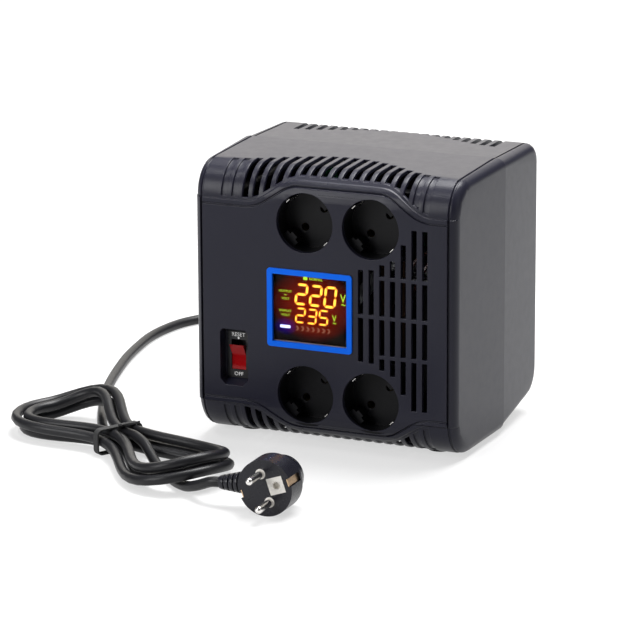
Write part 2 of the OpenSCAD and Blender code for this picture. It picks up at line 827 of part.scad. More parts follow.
module rear_shell() color("#2c2c33") difference() {
    union() {
        difference() {
            union() {
                intersection() {
                    form(false, 0, 0);
                    seam_side(false);
                }
                at_feet(true) translate([0, 0, base_z])
                    cylinder(r = foot_r + over, h = rear_rise + wall_t, $fn = round_fn);
            }
            form(false, wall_t, wall_t);
            rear_vents();
            difference() {
                side_grooves(groove_x - seam_step, base_z + rear_rise + back_low_r);
                along_x(body_w) rear_outline(groove_t);
            }
        }
        intersection() {
            rear_inside();
            form(false, wall_t / 2, wall_t / 2);
            seam_side(false);
        }
    }
    rear_holes();
}

module case_screws() color("#8c8f94") at_case_screws() {
    rod(case_head_r, back_y - case_screw_in, back_y - case_screw_in + case_head_h);
    rod(case_screw_r, seam_y - case_screw_bite, back_y - case_screw_in);
}

module feet() color("#18181a") for (rear = [false, true]) at_feet(rear) {
    cylinder(r = foot_r, h = base_z, $fn = round_fn);
}

// Cup of a well behind the panel, with its pin holes, guide ribs and the slots of its earth clip
module socket_insert(k) color("#141416") at_socket(k) difference() {
    union() {
        block(flange_w, flange_w, well_d, well_back);
        difference() {
            rod(well_r + well_wall, panel_t, well_back);
            rod(well_r, panel_t - over, well_d);
        }
        for (side = [0, 180]) turn(socket_turn + side) intersection() {
            rod(well_r + over, rib_y, well_back);
            union() {
                translate([well_r, 0, 0]) block(2 * rib_h, rib_w, rib_y, well_back);
                translate([well_r, 0, 0]) block(2 * (rib_h + key_h), key_w, rib_y, well_back);
            }
        }
    }
    for (side = [-1, 1]) {
        turn(socket_turn) translate([side * pin_reach, 0, 0])
            rod(pin_hole_r, well_d - over, well_back + over);
        turn(socket_turn + 90) translate([side * (finger_in + clip_t / 2), 0, 0])
            block(clip_t + 2 * slip, clip_w + 2 * slip, well_d - over, well_back + over);
    }
    at_ears() rod(screw_r + slip, well_d - over, well_back + over);
}

// One strap with a finger at each end, which reaches into the well
module earth_clip(k) color("#d8c48a") at_socket(k) turn(socket_turn + 90) {
    block(2 * (finger_in + clip_t), clip_w, well_back, well_back + clip_t);
    for (side = [0, 1]) mirror([side, 0, 0]) translate([finger_in + clip_t / 2, 0, 0])
        block(clip_t, clip_w, clip_tip_y, well_back + clip_t);
}

// Two sprung tubes that take the plug's pins, each with a stem to its bus
module pin_contacts(k) color("#c9a24e") at_socket(k) turn(socket_turn) for (side = [-1, 1])
    translate([side * pin_reach, 0, 0]) {
        difference() {
            rod(contact_r, well_back, cover_back - insert_t - slip);
            rod(pin_hole_r, well_back - over, cover_back - insert_t - slip - contact_wall);
        }
        rod(stem_r, cover_back - insert_t - slip, cover_back);
    }

module socket_cover(k) color("#1d1d20") at_socket(k) difference() {
    union() {
        block(flange_w, flange_w, well_back, flange_back);
        block(cover_w, cover_w, well_back, cover_back);
    }
    at_ears() {
        rod(screw_r + slip, well_back - over, flange_back + over);
        rod(head_r + slip, flange_back, cover_back + over);
    }
    turn(socket_turn) for (side = [-1, 1]) translate([side * pin_reach, 0, 0]) {
        rod(contact_r + slip, well_back - over, cover_back - insert_t);
        rod(stem_r + slip, cover_back - insert_t - over, cover_back + over);
    }
    turn(socket_turn + 90)
        block(2 * (finger_in + clip_t + slip), clip_w + 2 * slip, well_back - over, well_back + clip_t);
}

module socket_screws() color("#a9abb0") for (k = [0 : 3]) at_socket(k) at_ears() {
    rod(head_r, flange_back, flange_back + head_h);
    rod(screw_r, well_d - screw_bite, flange_back);
}

// Flat strip along two uprights and a bar, behind the contacts on one side of each socket
module bus(side) {
    xs = [for (sx = [-1, 1]) panel_x + sx * socket_pitch_x / 2 + side * pin_dx];
    near = socket_pitch_z / 2 + pin_dz;
    far = socket_pitch_z / 2 - pin_dz;
    half = bus_w / 2;
    translate([0, 0, mid_z]) mirror([0, 0, side < 0 ? 1 : 0]) along_y(bus_y, bus_y + bus_t) {
        for (x = xs) translate([x - half, -far - half]) square([bus_w, far + near + bus_w]);
        translate([xs[0] - half, near - half]) square([xs[1] - xs[0] + bus_w, bus_w]);
    }
}

module live_bus() color("#b87333") bus(-1);

module neutral_bus() color("#c08a4a") bus(1);

module at_display() translate([display_x, front_y, mid_z]) children();

// Frame with a proud border in front of the panel and a skirt through its opening
module display_bezel() color("#1f6fd0") at_display() difference() {
    union() {
        plate(bezel_w, bezel_h, bezel_r, -bezel_proud, 0);
        block(skirt_w, skirt_h, -leaf, segment_y + segment_t);
    }
    block(glass_w, glass_h, -bezel_proud - over, segment_y + over);
    block(glass_w + 2 * window_lap, glass_h + 2 * window_lap, window_y, segment_y + 2 * over);
}

module display_window() color("#3a1418") at_display()
    block(glass_w + 2 * window_lap - 2 * slip, glass_h + 2 * window_lap - 2 * slip, window_y, segment_y);

// Outline of one segment bar with pointed ends
module bar(len, t) polygon([
    [-len / 2, 0], [-len / 2 + t / 2, t / 2], [len / 2 - t / 2, t / 2],
    [len / 2, 0], [len / 2 - t / 2, -t / 2], [-len / 2 + t / 2, -t / 2]
]);

// Outline of one digit of seven segments, leaning to the right
module digit(lit, w, h, t) {
    gap = t / 5;
    wide = w - t - gap;
    tall = (h - t) / 2 - gap;
    x = (w - t) / 2;
    z = (h - t) / 2;
    places = [[0, z], [-x, z / 2], [x, z / 2], [0, 0], [-x, -z / 2], [x, -z / 2], [0, -z]];
    for (k = [0 : 6]) if (lit[k] == "1") {
        upright = k != 0 && k != 3 && k != 6;
        translate([places[k][0] + digit_lean_share * places[k][1], places[k][1]])
            rotate(upright ? 90 - atan(digit_lean_share) : 0) bar(upright ? tall : wide, t);
    }
}

// The lit digits, in two rows
module display_segments() color("#ff9a1f") at_display() along_y(segment_y, lamp_y) {
    for (k = [0 : digit_count - 1]) {
        translate([digit_x + k * digit_pitch, digit_z]) digit(lit_big[k], digit_w, digit_h, digit_t);
        translate([small_x + k * small_pitch, small_z])
            digit(lit_small[k], digit_w * small_wide_share, small_share * digit_h, digit_t * small_share);
    }
}

module display_lamp_block() color("#2a0d10") at_display() block(glass_w, glass_h, lamp_y, lamp_board_y);

module display_board() color("#1f5c3a") difference() {
    at_display() block(lamp_board_w, lamp_board_h, lamp_board_y, lamp_board_y + board_t);
    at_lamp_posts() rod(screw_r + slip, lamp_board_y - over, lamp_board_y + board_t + over);
}

module display_screws() color("#a9abb0") at_lamp_posts() {
    rod(head_r, lamp_board_y + board_t, lamp_board_y + board_t + head_h);
    rod(screw_r, panel_t + over, lamp_board_y + board_t);
}

// Body of the breaker, with a plate on the pocket's floor and a cave for the rocker
module breaker_body() color("#0f0f10") at_breaker() difference() {
    union() {
        block(plate_w, plate_h, plate_y, pocket_d);
        block(breaker_w, breaker_h, plate_y, pocket_d + breaker_d);
    }
    block(cave_w, cave_h, plate_y - over, plate_y + cave_d);
    translate([0, pivot_y, 0]) rotate([0, 90, 0])
        cylinder(r = trunnion_r + trunnion_gap, h = cave_w + 2 * trunnion_l, center = true, $fn = round_fn);
}

// Rocker with its upper end out, which is its off position
module breaker_rocker() color("#c4161c") at_breaker() translate([0, pivot_y, 0]) rotate([rocker_tilt, 0, 0]) {
    h = rocker_h / 2;
    along_x(rocker_w) polygon([
        [-rocker_nose, -h], [-rocker_saddle, 0], [-rocker_nose, h],
        [rocker_back, heel_share * h], [rocker_back, -heel_share * h]
    ]);
    rotate([0, 90, 0]) cylinder(r = trunnion_r, h = rocker_w + 2 * trunnion_l, center = true, $fn = round_fn);
}

module breaker_terminals() color("#c9a24e") at_breaker() for (k = [-1, 0, 1])
    translate([0, pocket_d + breaker_d, k * blade_pitch]) block(blade_w, blade_t, 0, blade_l);

module at_core() translate([0, core_y, core_z]) children();

// Stack of stamped sheets: a centre leg, two outer legs and the yokes
module transformer_core() color("#6d7076") at_core() difference() {
    translate([-core_w / 2, -stack_d / 2, 0]) cube([core_w, stack_d, core_h]);
    for (side = [-1, 1])
        translate([side * (leg_w + window_w) / 2 - window_w / 2, -stack_d / 2 - over, leg_w / 2])
            cube([window_w, stack_d + 2 * over, window_h]);
}

// Ring round the centre leg, as a plan outline with round corners and a hole
module leg_ring(z0, z1, inner, outer) at_core() translate([0, 0, z0]) linear_extrude(z1 - z0) difference() {
    offset(r = outer, $fn = form_fn) square([leg_w, stack_d], center = true);
    offset(delta = inner) square([leg_w, stack_d], center = true);
}

module transformer_bobbin() color("#e8e4d8") {
    low = leg_w / 2 + coil_gap;
    high = leg_w / 2 + window_h - coil_gap;
    leg_ring(low, high, coil_gap, coil_gap + bobbin_t);
    leg_ring(low, low + bobbin_t, coil_gap, coil_gap + bobbin_t + coil_t);
    leg_ring(high - bobbin_t, high, coil_gap, coil_gap + bobbin_t + coil_t);
}

module transformer_winding() color("#b5651d") {
    low = leg_w / 2 + coil_gap + bobbin_t;
    high = leg_w / 2 + window_h - coil_gap - bobbin_t;
    at_core() translate([0, 0, low]) linear_extrude(high - low) difference() {
        offset(r = coil_gap + bobbin_t + coil_t - slip, $fn = form_fn)
            square([leg_w, stack_d], center = true);
        offset(r = coil_gap + bobbin_t, $fn = form_fn) square([leg_w, stack_d], center = true);
    }
}

// Strap over the core, with a foot on each side
module transformer_bracket() color("#9a9ea3") difference() {
    at_core() {
        for (side = [0, 1]) mirror([side, 0, 0]) {
            translate([core_w / 2, -bracket_d / 2, -bracket_t])
                cube([bracket_t, bracket_d, core_h + 2 * bracket_t]);
            translate([core_w / 2, -bracket_d / 2, -bracket_t])
                cube([bracket_t + bracket_ear, bracket_d, bracket_t]);
        }
        translate([-core_w / 2 - leaf, -bracket_d / 2, core_h])
            cube([core_w + 2 * leaf, bracket_d, bracket_t]);
    }
    at_bracket_screws() translate([0, 0, -over])
        cylinder(r = screw_r + slip, h = bracket_t + 2 * over, $fn = round_fn);
}

module transformer_screws() color("#a9abb0") at_bracket_screws() translate([0, 0, bracket_t]) {
    cylinder(r = head_r, h = head_h, $fn = round_fn);
    translate([0, 0, -bracket_t - screw_bite + over])
        cylinder(r = screw_r, h = bracket_t + screw_bite - over, $fn = round_fn);
}

module control_board() color("#1f5c3a") difference() {
    translate([0, 0, board_z]) block(board_w, board_h, board_y, board_y + board_t);
    at_standoffs() rod(screw_r + slip, board_y - over, board_y + board_t + over);
}

module board_screws() color("#a9abb0") at_standoffs() {
    rod(head_r, board_y - head_h, board_y);
    rod(screw_r, board_y, back_in_y - over);
}

module relays() color("#2456a8") for (k = [0 : relay_count - 1])
    translate([(k - (relay_count - 1) / 2) * relay_pitch, 0, board_z + relay_rise])
        block(relay_w, relay_h, board_y - relay_d, board_y);

module capacitors() color("#26262c") for (x = cap_xs)
    translate([x, 0, board_z - cap_drop]) rod(cap_r, board_y - cap_l, board_y);

module terminal_block() color("#3f8f4f") translate([block_x, 0, board_z - block_drop])
    block(block_w, block_h, board_y - block_d, board_y);

function unit(v) = v / norm(v);
function along(p, i) = unit(p[min(i + 1, len(p) - 1)] - p[max(i - 1, 0)]);
function ring(p, i, r, sides, ref) =
    let (t = along(p, i), n = unit(cross(t, ref)), b = cross(n, t))
    [for (k = [0 : sides - 1]) p[i] + r * (cos(360 * k / sides) * n + sin(360 * k / sides) * b)];

// Points of a smooth curve through the given points, in equal steps between each pair
function curve_at(p, i, u) =
    let (a = p[max(i - 1, 0)], b = p[i], c = p[i + 1], d = p[min(i + 2, len(p) - 1)])
    (2 * b + (c - a) * u + (2 * a - 5 * b + 4 * c - d) * u * u + (3 * b - a - 3 * c + d) * u * u * u) / 2;
function smooth(p, n) = concat(
    [for (i = [0 : len(p) - 2], k = [0 : n - 1]) curve_at(p, i, k / n)], [p[len(p) - 1]]);

// Tube of triangles along a row of points, closed at both ends
module tube(p, r, sides, ref = [0, 0, 1]) {
    n = len(p);
    last = (n - 1) * sides;
    walls = [
        for (i = [0 : n - 2], k = [0 : sides - 1])
            let (a = i * sides + k, b = i * sides + (k + 1) % sides)
            each [[a, b + sides, b], [a, a + sides, b + sides]]
    ];
    caps = [for (k = [1 : sides - 2]) each [[0, k, k + 1], [last, last + k + 1, last + k]]];
    polyhedron([for (i = [0 : n - 1]) each ring(p, i, r, sides, ref)], concat(walls, caps));
}

module wire(points) tube(smooth(points, wire_steps), wire_r, wire_sides, wire_side_dir);

// A point, and the point a straight length in front of it, in either order
function straight_in(p) = [p - [0, wire_straight, 0], p];
function straight_out(p) = [p, p + [0, wire_straight, 0]];
function blade(k) = [breaker_x, front_y + pocket_d + breaker_d + blade_l, breaker_z + k * blade_pitch];
function clamp_at(k) = [block_x + k * block_pitch, board_y - block_d, board_z - block_drop];
function core_out(dx, dz) =
    let (p = [gland_x + dx * wire_pitch, back_in_y - nut_t, gland_z + dz * wire_pitch])
    [p, p - [0, wire_straight, 0]];

// Three cores from the gland: one to the breaker, one to the terminal block, one to the bracket
module supply_wires() color("#7a4a22") {
    strap = [-core_w / 2 - bracket_t - slip, core_y, strap_z];
    wire(concat(core_out(-1, 0.6), breaker_route, [blade(-1) + [0, wire_straight, 0], blade(-1)]));
    wire(concat(core_out(1, 0.6), block_route, straight_in(clamp_at(-2))));
    wire(concat(core_out(0, -1), earth_route, [strap - [wire_r, 0, 0], strap]));
}

// Wires from the breaker, to both buses and from the winding's taps
module output_wires() color("#a03a2a") {
    left = panel_x - socket_pitch_x / 2;
    tap_z = core_z + leg_w / 2 + window_h - coil_t;
    tap_y = core_y - coil_half_d + slip;
    board_low = [0, board_y, board_z - board_h / 2 + board_rim];
    wire(concat(straight_out(blade(1)), feed_route, straight_in(clamp_at(-1))));
    live_tap = [left - pin_dx, bus_y + bus_t, live_tap_z];
    neutral_tap = [left + pin_dx, bus_y + bus_t, neutral_tap_z];
    wire(concat(straight_out(live_tap), live_route, straight_in(clamp_at(0))));
    wire(concat(straight_out(neutral_tap), neutral_route, straight_in(clamp_at(1))));
    for (x = tap_xs) wire(concat(
        [[x, tap_y, tap_z], [x, tap_y - wire_straight, tap_z + wire_pitch]],
        [for (p = tap_route) p + [x + tap_shift, 0, 0]],
        straight_in(board_low + [x + 2 * tap_shift, 0, 0])
    ));
}

module display_ribbon() color("#8d8f96") {
    start = [front_y + lamp_board_y + board_t, mid_z];
    end = [board_y, board_z - ribbon_in];
    path = smooth(concat(
        [start, start + [wire_straight, 0]], ribbon_route,
        [end - [2 * wire_straight, ribbon_in / 2], end - [wire_straight, 0], end]
    ), wire_steps);
    translate([ribbon_x, 0, 0]) along_x(ribbon_w) polygon(concat(
        [for (p = path) p + [0, ribbon_t / 2]],
        [for (k = [len(path) - 1 : -1 : 0]) path[k] - [0, ribbon_t / 2]]
    ));
}

// Collar and tapered sleeve behind the back wall, neck through it and nut inside
module cord_gland() color("#19191b") translate([gland_x, 0, gland_z]) {
    rod(gland_r, back_y, back_y + gland_collar);
    rod(gland_r - 3 * slip, back_in_y, back_y + over);
    rod(nut_r, back_in_y - nut_t, back_in_y);
    translate([0, gland_end, 0]) rotate([90, 0, 0])
        cylinder(r1 = gland_tip_r, r2 = gland_r - over, h = gland_l, $fn = round_fn);
}

module cord_lead() color("#202024") tube(smooth(concat(
    [[gland_x, gland_end, gland_z], [gland_x, gland_end + cord_d, gland_z]], lead_points,
    [at_waist(-2 * cord_d, 0), at_waist(-cord_d, 0)]
), lead_steps), cord_d / 2, cord_sides);

module cord_hank() color("#202024") tube(hank_path, cord_d / 2, hank_sides);

module cord_tail() color("#202024") tube(smooth(concat(
    [at_waist(cord_d, hank_loops), at_waist(2 * cord_d, hank_loops)], tail_points,
    [sleeve_end + cord_d * sleeve_axis, sleeve_end + 2 * slip * sleeve_axis]
), lead_steps), cord_d / 2, cord_sides);

// Band round the waist of the hank, with two twisted ends
module twist_tie() color("#0c0c0d") translate(waist) rotate(waist_turn) {
    side = hank_step * hank_loops / 2 + hank_inner + cord_d / 2 + 2 * slip;
    near = hank_step + hank_inner + cord_d / 2 + 2 * slip;
    top = cord_d / 2 + waist_lift + layer_h + cord_d / 2 + slip;
    core = [side + near, top - tie_t] - [2, 2] * tie_r;
    translate([0, (near - side) / 2, (top + tie_t) / 2]) along_x(tie_w) difference() {
        offset(r = tie_t + tie_r, $fn = form_fn) square(core, center = true);
        offset(r = tie_r, $fn = form_fn) square(core, center = true);
    }
    for (a = tie_turns) translate([0, 0, top + tie_t / 2]) rotate([0, -tie_slope, a])
        translate([0, -tie_w / 4, -tie_t / 2]) cube([tie_end_l, tie_w / 2, tie_t]);
}

module at_plug() translate(plug_place) children();

module plug_body() color("#17171a") at_plug() difference() {
    union() {
        rod(plug_r, 0, plug_d);
        translate([0, plug_d + grip_d, 0]) rotate([90, 0, 0])
            cylinder(r1 = plug_r * grip_tip_share, r2 = plug_r * grip_root_share, h = grip_d, $fn = round_fn);
        translate([0, plug_neck_y, 0]) rotate([0, -90 - plug_slope, 0])
            cylinder(r = neck_r, h = plug_r + over, $fn = round_fn);
    }
    turn(plug_turn) {
        for (side = [-1, 1]) {
            translate([side * plug_r, 0, 0]) block(2 * strip_in, strip_w + 2 * slip, -over, strip_l);
            translate([0, 0, side * pin_reach]) {
                rod(pin_root_r, -over, plug_pin_root);
                rod(plug_pin_r + collar_t, -over, insert_t);
            }
        }
        translate([earth_x, 0, 0]) block(earth_w, earth_w, -over, plug_pin_root / 2);
    }
}

module plug_sleeve() color("#17171a")
    at_plug() translate([0, plug_neck_y, 0]) rotate([0, -90 - plug_slope, 0]) difference() {
        rib_pitch = sleeve_l / rib_count;
        translate([0, 0, plug_r + over])
            cylinder(r1 = neck_r - over, r2 = sleeve_tip_r, h = sleeve_l - over, $fn = round_fn);
        for (k = [0 : rib_count - 1])
            translate([0, 0, plug_r + over + (k + rib_share) * rib_pitch]) difference() {
                cylinder(r = neck_r + over, h = rib_share * rib_pitch / 2, center = true, $fn = round_fn);
                cylinder(r = sleeve_tip_r - slip, h = sleeve_l, center = true, $fn = round_fn);
            }
    }

module plug_pins() color("#c9cbd0") at_plug() turn(plug_turn) for (side = [-1, 1])
    translate([0, 0, side * pin_reach]) {
        rod(plug_pin_r, plug_pin_r - plug_pin_l, 0);
        rod(pin_root_r, -over, plug_pin_root);
        translate([0, plug_pin_r - plug_pin_l, 0]) sphere(r = plug_pin_r, $fn = round_fn);
    }

// Two sprung strips on the plug's flanks
module plug_earth_strips() color("#c9cbd0") at_plug() turn(plug_turn) for (side = [-1, 1])
    translate([side * (plug_r - strip_in + clip_t / 2), 0, 0]) block(clip_t, strip_w, 0, strip_l);

// Pale moulding in the plug's face: the earth hole's square and a collar round each pin
module plug_earth_insert() color("#e9e6dc") at_plug() turn(plug_turn) {
    difference() {
        translate([earth_x, 0, 0]) block(earth_w, earth_w, 0, plug_pin_root / 2);
        translate([earth_x + slip, 0, 0]) rod(earth_hole_r, -over, plug_pin_root / 2 - contact_wall);
    }
    for (side = [-1, 1]) translate([0, 0, side * pin_reach]) difference() {
        rod(plug_pin_r + collar_t, 0, insert_t);
        rod(pin_root_r, -over, insert_t + over);
    }
}

front_shell();
rear_shell();
case_screws();
feet();
socket_insert(0);  // socket_insert_ul
socket_insert(1);  // socket_insert_ur
socket_insert(2);  // socket_insert_ll
socket_insert(3);  // socket_insert_lr
earth_clip(0);  // earth_clip_ul
earth_clip(1);  // earth_clip_ur
earth_clip(2);  // earth_clip_ll
earth_clip(3);  // earth_clip_lr
pin_contacts(0);  // pin_contacts_ul
pin_contacts(1);  // pin_contacts_ur
pin_contacts(2);  // pin_contacts_ll
pin_contacts(3);  // pin_contacts_lr
socket_cover(0);  // socket_cover_ul
socket_cover(1);  // socket_cover_ur
socket_cover(2);  // socket_cover_ll
socket_cover(3);  // socket_cover_lr
socket_screws();
live_bus();
neutral_bus();
display_bezel();
display_window();
display_segments();
display_lamp_block();
display_board();
display_screws();
breaker_body();
breaker_rocker();
breaker_terminals();
transformer_core();
transformer_bobbin();
transformer_winding();
transformer_bracket();
transformer_screws();
control_board();
relays();
capacitors();
terminal_block();
board_screws();
supply_wires();
output_wires();
display_ribbon();
cord_gland();
cord_lead();
cord_hank();
cord_tail();
twist_tie();
plug_body();
plug_sleeve();
plug_pins();
plug_earth_strips();
plug_earth_insert();
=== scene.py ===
# %% [markdown]
# # A voltage stabilizer on a white table
# The solids of this part come from a CAD model: every shell, socket, board and screw
# is already there at its true size. This lesson dresses them. Some solids only get a
# finish, and others are replaced by a finer piece that lies in the same place.

# %% Load the solids
import math

import bmesh
import bpy
from mathutils import Matrix, Vector


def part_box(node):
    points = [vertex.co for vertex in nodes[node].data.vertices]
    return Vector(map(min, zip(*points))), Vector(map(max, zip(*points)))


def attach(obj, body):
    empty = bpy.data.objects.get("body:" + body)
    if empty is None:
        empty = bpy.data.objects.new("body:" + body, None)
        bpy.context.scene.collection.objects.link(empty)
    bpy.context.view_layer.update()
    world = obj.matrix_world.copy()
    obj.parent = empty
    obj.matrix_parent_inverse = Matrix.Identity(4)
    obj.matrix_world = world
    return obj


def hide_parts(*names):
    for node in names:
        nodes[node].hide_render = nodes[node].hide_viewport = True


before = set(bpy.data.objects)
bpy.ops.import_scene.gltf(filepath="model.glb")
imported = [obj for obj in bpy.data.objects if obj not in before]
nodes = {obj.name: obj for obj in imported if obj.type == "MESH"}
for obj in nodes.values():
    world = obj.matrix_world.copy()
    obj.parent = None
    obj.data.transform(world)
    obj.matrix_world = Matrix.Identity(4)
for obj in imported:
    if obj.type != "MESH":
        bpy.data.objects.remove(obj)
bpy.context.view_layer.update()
MM = 0.001
CASE_BODY = "stabilizer"
ROCKER_BODY = "rocker"

# %% [markdown]
# ## Camera
# The photograph was taken from a distance with a long lens, a little from the right
# and a little from above. A camera is easiest to keep honest as a target, two angles
# and a distance, because each of them can be read off the picture on its own.

# %% Camera
view_target = Vector((-2.45, -76.15, 90.97)) * MM
view_azimuth = math.radians(23.31)
view_elevation = math.radians(15.45)
view_roll = math.radians(-0.26)
view_distance = 2633.8 * MM

turn = (
    Matrix.Rotation(view_azimuth, 4, "Z")
    @ Matrix.Rotation(math.pi / 2 - view_elevation, 4, "X")
    @ Matrix.Rotation(view_roll, 4, "Z")
)
camera_data = bpy.data.cameras.new("photo_camera")
camera_data.sensor_width = 36
camera_data.lens = 225
camera_data.clip_end = 50
camera = bpy.data.objects.new("photo_camera", camera_data)
camera.matrix_world = Matrix.Translation(view_target + turn.col[2].to_3d() * view_distance) @ turn
bpy.context.scene.collection.objects.link(camera)
bpy.context.scene.camera = camera
print("camera stands at", tuple(round(c, 3) for c in camera.matrix_world.translation))

# %% [markdown]
# ## Table, backdrop and lamps
# The picture has a plain white ground. The floor itself is grey, so that it throws
# little light back at the case, and a glow makes it white, only for the camera, for
# reflections and for glass. The glow lights nothing, and the shadow under the object
# stays.

# %% Floor and world
FLOOR_SIZE = 14.0
FLOOR_GREY = 0.3
FLOOR_GLOW = 0.6
WORLD_LIGHT = 0.16


def add_link(tree, source, target):
    tree.links.new(source, target)


def add_math(tree, operation, first, second):
    """A node that works out one number from an output and an output or a constant."""
    node = tree.nodes.new("ShaderNodeMath")
    node.operation = operation
    add_link(tree, first, node.inputs[0])
    if isinstance(second, float):
        node.inputs[1].default_value = second
    else:
        add_link(tree, second, node.inputs[1])
    return node.outputs[0]


def add_floor():
    shape = bmesh.new()
    bmesh.ops.create_grid(shape, x_segments=1, y_segments=1, size=FLOOR_SIZE / 2)
    mesh = bpy.data.meshes.new("table_top")
    shape.to_mesh(mesh)
    shape.free()
    floor = bpy.data.objects.new("table_top", mesh)
    bpy.context.scene.collection.objects.link(floor)
    material = bpy.data.materials.new("white_table")
    material.use_nodes = True
    tree = material.node_tree
    shader = tree.nodes["Principled BSDF"]
    shader.inputs["Base Color"].default_value = (FLOOR_GREY, FLOOR_GREY, FLOOR_GREY, 1)
    shader.inputs["Roughness"].default_value = 0.7
    shader.inputs["Specular IOR Level"].default_value = 0.1
    glow = tree.nodes.new("ShaderNodeEmission")
    path = tree.nodes.new("ShaderNodeLightPath")
    seen = add_math(tree, "MAXIMUM", path.outputs["Is Camera Ray"], path.outputs["Is Glossy Ray"])
    seen = add_math(tree, "MAXIMUM", seen, path.outputs["Is Transmission Ray"])
    add_link(tree, add_math(tree, "MULTIPLY", seen, FLOOR_GLOW), glow.inputs["Strength"])
    both = tree.nodes.new("ShaderNodeAddShader")
    add_link(tree, shader.outputs[0], both.inputs[0])
    add_link(tree, glow.outputs[0], both.inputs[1])
    add_link(tree, both.outputs[0], tree.nodes["Material Output"].inputs["Surface"])
    mesh.materials.append(material)


add_floor()
world = bpy.data.worlds.new("studio")
world.use_nodes = True
world.node_tree.nodes["Background"].inputs["Color"].default_value = (1, 1, 1, 1)
world.node_tree.nodes["Background"].inputs["Strength"].default_value = WORLD_LIGHT
bpy.context.scene.world = world
bpy.context.scene.view_settings.view_transform = "Standard"
print("floor of", FLOOR_SIZE, "m")

# %% Lamps
# Each lamp: name, place, point it looks at, width, height, power in watts, colour
LAMPS = (
    ("overhead_softbox", (0.1, 0.5, 1.5), (0, 0, 0.1), 1.2, 0.9, 60, (1, 1, 1)),
    ("rear_softbox", (-0.7, 2.0, 0.8), (0, 0, 0.15), 2.4, 1.0, 12, (1, 0.96, 0.88)),
    ("right_softbox", (1.7, -0.1, 0.7), (0, 0, 0.1), 0.9, 1.0, 2, (1, 1, 1)),
    ("front_fill", (-1.1, -1.7, 0.9), (0, -0.05, 0.1), 1.0, 1.0, 26, (1, 1, 1)),
    ("rib_strip", (-0.6, -0.45, 1.4), (0, 0, 0.15), 1.0, 0.06, 5, (1, 1, 1)),
)
for name, place, look_at, width, height, power, colour in LAMPS:
    light = bpy.data.lights.new(name, "AREA")
    light.shape = "RECTANGLE"
    light.size = width
    light.size_y = height
    light.energy = power
    light.color = colour
    lamp = bpy.data.objects.new(name, light)
    lamp.location = place
    lamp.rotation_euler = (Vector(look_at) - Vector(place)).to_track_quat("-Z", "Y").to_euler()
    bpy.context.scene.collection.objects.link(lamp)
print(len(LAMPS), "lamps")

# %% [markdown]
# ## Finishes
# Nearly every piece is moulded plastic or plated metal. Plastic wants three things: a
# fine grain in the surface, a slow change of colour over a few centimetres, and a
# roughness that is not the same everywhere. Metal wants fine lines along its length.
# One helper makes each family.


# %% Finishes for plastic and metal
PATCH_SIZE = 0.03
RUB_SIZE = 0.006
LINE_SIZE = 0.0006


def new_finish(name):
    material = bpy.data.materials.new(name)
    material.use_nodes = True
    tree = material.node_tree
    shader = tree.nodes["Principled BSDF"]
    place = tree.nodes.new("ShaderNodeTexCoord")
    return material, tree, shader, place.outputs["Object"]


def noise(tree, place, size, detail=2.0, stretch=(1, 1, 1)):
    """Noise whose spots are about `size` metres across."""
    mapping = tree.nodes.new("ShaderNodeMapping")
    mapping.inputs["Scale"].default_value = stretch
    add_link(tree, place, mapping.inputs["Vector"])
    texture = tree.nodes.new("ShaderNodeTexNoise")
    texture.inputs["Scale"].default_value = 1 / size
    texture.inputs["Detail"].default_value = detail
    add_link(tree, mapping.outputs[0], texture.inputs["Vector"])
    return texture.outputs["Fac"]


def between(tree, factor, low, high):
    """A number that runs from `low` to `high` as the factor goes from 0.3 to 0.7."""
    span = tree.nodes.new("ShaderNodeMapRange")
    span.inputs["From Min"].default_value = 0.3
    span.inputs["From Max"].default_value = 0.7
    span.inputs["To Min"].default_value = low
    span.inputs["To Max"].default_value = high
    add_link(tree, factor, span.inputs["Value"])
    return span.outputs[0]


def mix_colours(tree, blend_type, factor, first, second):
    """A mix of two outputs, or of two colours where they are plain numbers."""
    mix = tree.nodes.new("ShaderNodeMix")
    mix.data_type = "RGBA"
    mix.blend_type = blend_type
    colour_inputs = [socket for socket in mix.inputs if socket.type == "RGBA"]
    for socket, colour in zip(colour_inputs, (first, second)):
        if isinstance(colour, (list, tuple)):
            socket.default_value = (*colour, 1)
        else:
            add_link(tree, colour, socket)
    if isinstance(factor, float):
        mix.inputs[0].default_value = factor
    else:
        add_link(tree, factor, mix.inputs[0])
    return next(socket for socket in mix.outputs if socket.type == "RGBA")


def add_grain(tree, shader, height, depth):
    bump = tree.nodes.new("ShaderNodeBump")
    bump.inputs["Distance"].default_value = depth
    bump.inputs["Strength"].default_value = 1.0
    add_link(tree, height, bump.inputs["Height"])
    add_link(tree, bump.outputs[0], shader.inputs["Normal"])


def plain_finish(name, colour, roughness):
    """A finish of one colour, with its shader for what else it needs."""
    material, tree, shader, place = new_finish(name)
    shader.inputs["Base Color"].default_value = (*colour, 1)
    shader.inputs["Roughness"].default_value = roughness
    return material, shader


def plastic(name, colour, roughness, grain=0.5, depth=0.02, change=0.06, shine=0.5):
    """Moulded plastic with a grain of `grain` and a depth of `depth` millimetres."""
    material, tree, shader, place = new_finish(name)
    shader.inputs["Specular IOR Level"].default_value = shine
    dark = [c * (1 - change) for c in colour]
    light = [min(1, c * (1 + change)) for c in colour]
    patch = between(tree, noise(tree, place, PATCH_SIZE, 3), 0, 1)
    add_link(tree, mix_colours(tree, "MIX", patch, dark, light), shader.inputs["Base Color"])
    rub = noise(tree, place, RUB_SIZE, 4)
    add_link(tree, between(tree, rub, roughness - 0.02, roughness + 0.02), shader.inputs["Roughness"])
    add_grain(tree, shader, noise(tree, place, grain * MM, 2), depth * MM)
    return material


